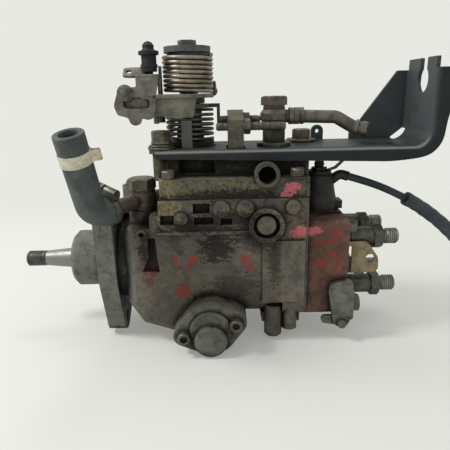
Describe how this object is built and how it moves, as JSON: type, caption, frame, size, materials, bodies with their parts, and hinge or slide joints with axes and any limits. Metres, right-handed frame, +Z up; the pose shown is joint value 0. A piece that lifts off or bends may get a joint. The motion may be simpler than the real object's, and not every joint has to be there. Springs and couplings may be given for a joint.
{
  "type": "diesel injection pump",
  "caption": "Rotary distributor diesel injection pump with throttle levers, cable bracket, fuel hose and stop solenoid lead.",
  "frame": {"origin": "centre of the three-bolt mounting flange's face, on the drive shaft axis", "axes": "+X along the drive shaft from the drive end towards the outlets, +Y away from the side with the name pad, +Z up through the levers"},
  "size_m": [0.4918, 0.1541, 0.229],
  "materials": {
    "housing_aluminium": "greasy dark cast aluminium with dried fuel",
    "cover_aluminium": "oily cast aluminium",
    "gasket": "matte dark seal",
    "fastener_steel": "oiled steel, light rust",
    "head_iron": "red-brown stained machined steel",
    "outlet_steel": "dark oily steel",
    "shaft_steel": "bright ground steel",
    "spring_steel": "dark spring steel, light rust",
    "inner_steel": "ground and oiled steel",
    "lever_zinc": "dull zinc plated steel",
    "idle_olive": "olive zinc plate",
    "brown_zinc": "brownish zinc plated fittings",
    "yellow_zinc": "yellow zinc plate",
    "black_steel": "dark grey painted sheet steel",
    "rubber_hose": "matte moulded rubber",
    "lead_rubber": "matte black cable and sleeve",
    "connector_plastic": "matte black plastic",
    "bronze": "sintered bearing bronze"
  },
  "bodies": {
    "pump_body": {"housing": "housing_aluminium", "governor_cover": "cover_aluminium", "cover_gasket": "gasket", "socket_screws": "fastener_steel", "timing_covers": "housing_aluminium", "timing_spring": "spring_steel", "shaft_seal": "gasket", "shaft_bush": "bronze", "pump_liner": "inner_steel", "pump_plate": "inner_steel", "spring_bridge": "inner_steel", "plunger_springs": "spring_steel", "distributor_head": "head_iron", "head_barrel": "inner_steel", "valve_holders": "outlet_steel", "delivery_springs": "spring_steel", "plugs": "fastener_steel", "stop_solenoid": "outlet_steel", "solenoid_lead": "lead_rubber", "lead_sleeve": "lead_rubber", "lead_connector": "connector_plastic", "inlet_fitting": "brown_zinc", "banjo_bolts": "brown_zinc", "sealing_washers": "brown_zinc", "inlet_hose": "rubber_hose", "hose_clamps": "fastener_steel", "return_fitting": "brown_zinc", "governor_shaft": "inner_steel", "adjusting_screws": "fastener_steel", "cable_bracket": "black_steel", "hex_bolts": "fastener_steel", "zinc_bracket": "yellow_zinc", "rear_bracket": "black_steel", "idle_spring": "spring_steel"},
    "drive": {"drive_shaft": "shaft_steel", "shaft_key": "fastener_steel", "pump_rotor": "inner_steel", "pump_vanes": "inner_steel", "governor_drive_gear": "inner_steel"},
    "cam_and_plunger": {"cam_plate": "inner_steel", "pump_plunger": "inner_steel"},
    "advance_piston": {"timing_piston": "inner_steel"},
    "roller_carrier": {"roller_ring": "inner_steel", "cam_rollers": "inner_steel"},
    "governor_rotor": {"governor_cage": "inner_steel", "governor_weights": "inner_steel"},
    "sliding_sleeve": {"governor_sleeve": "inner_steel"},
    "tensioning_lever": {"governor_lever": "inner_steel"},
    "spill_spool": {"control_spool": "inner_steel"},
    "throttle": {"throttle_shaft": "shaft_steel", "throttle_lever": "lever_zinc", "throttle_spring": "spring_steel", "spring_drum": "lever_zinc", "ball_stud": "lever_zinc"},
    "fast_idle": {"idle_lever": "idle_olive"},
    "stop_valve": {"solenoid_plunger": "inner_steel"},
    "delivery_valve_a": {"delivery_valve_1": "inner_steel"},
    "delivery_valve_b": {"delivery_valve_2": "inner_steel"},
    "delivery_valve_c": {"delivery_valve_3": "inner_steel"},
    "delivery_valve_d": {"delivery_valve_4": "inner_steel"}
  },
  "joints": [
    {"name": "drive_spin", "type": "hinge", "parent": "pump_body", "child": "drive", "pos_m": [0, 0, 0], "axis": [1, 0, 0], "continuous": true},
    {"name": "plunger_stroke", "type": "slide", "parent": "drive", "child": "cam_and_plunger", "axis": [1, 0, 0], "range_m": [-0.0022, 0]},
    {"name": "advance_travel", "type": "slide", "parent": "pump_body", "child": "advance_piston", "axis": [0, 1, 0], "range_m": [-0.006, 0]},
    {"name": "roller_ring_turn", "type": "hinge", "parent": "pump_body", "child": "roller_carrier", "pos_m": [0.085, 0, 0], "axis": [1, 0, 0], "range_deg": [-7.6, 0]},
    {"name": "governor_spin", "type": "hinge", "parent": "pump_body", "child": "governor_rotor", "pos_m": [0.07, 0, 0.051], "axis": [1, 0, 0], "continuous": true},
    {"name": "sleeve_travel", "type": "slide", "parent": "pump_body", "child": "sliding_sleeve", "axis": [1, 0, 0], "range_m": [0, 0.006]},
    {"name": "governor_lever_tilt", "type": "hinge", "parent": "pump_body", "child": "tensioning_lever", "pos_m": [0.123, 0, 0.026], "axis": [0, 1, 0], "range_deg": [0, 14.7]},
    {"name": "spool_travel", "type": "slide", "parent": "pump_body", "child": "spill_spool", "axis": [1, 0, 0], "range_m": [-0.0044, 0]},
    {"name": "throttle_turn", "type": "hinge", "parent": "pump_body", "child": "throttle", "pos_m": [0.072, 0, 0.12], "axis": [0, 0, 1], "range_deg": [0, 45], "stiffness_Nm_per_rad": 0.2, "springref_deg": -34.38},
    {"name": "fast_idle_turn", "type": "hinge", "parent": "pump_body", "child": "fast_idle", "pos_m": [0.072, 0, 0.115], "axis": [0, 0, 1], "range_deg": [-20, 0], "stiffness_Nm_per_rad": 0.1, "springref_deg": 22.92},
    {"name": "stop_valve_lift", "type": "slide", "parent": "pump_body", "child": "stop_valve", "axis": [0, 0, 1], "range_m": [0, 0.003], "stiffness_N_per_m": 800, "springref_m": -0.003},
    {"name": "delivery_valve_a_lift", "type": "slide", "parent": "pump_body", "child": "delivery_valve_a", "axis": [1, 0, 0], "range_m": [0, 0.0015], "stiffness_N_per_m": 3000, "springref_m": -0.002},
    {"name": "delivery_valve_b_lift", "type": "slide", "parent": "pump_body", "child": "delivery_valve_b", "axis": [1, 0, 0], "range_m": [0, 0.0015], "stiffness_N_per_m": 3000, "springref_m": -0.002},
    {"name": "delivery_valve_c_lift", "type": "slide", "parent": "pump_body", "child": "delivery_valve_c", "axis": [1, 0, 0], "range_m": [0, 0.0015], "stiffness_N_per_m": 3000, "springref_m": -0.002},
    {"name": "delivery_valve_d_lift", "type": "slide", "parent": "pump_body", "child": "delivery_valve_d", "axis": [1, 0, 0], "range_m": [0, 0.0015], "stiffness_N_per_m": 3000, "springref_m": -0.002}
  ],
  "couplings": [
    {"joint": "governor_spin", "follows": "drive_spin", "ratio": -1.4286},
    {"joint": "roller_ring_turn", "follows": "advance_travel", "rad_per_m": 21.978},
    {"joint": "governor_lever_tilt", "follows": "sleeve_travel", "rad_per_m": 42.5},
    {"joint": "spool_travel", "follows": "sleeve_travel", "ratio": -0.7225}
  ]
}
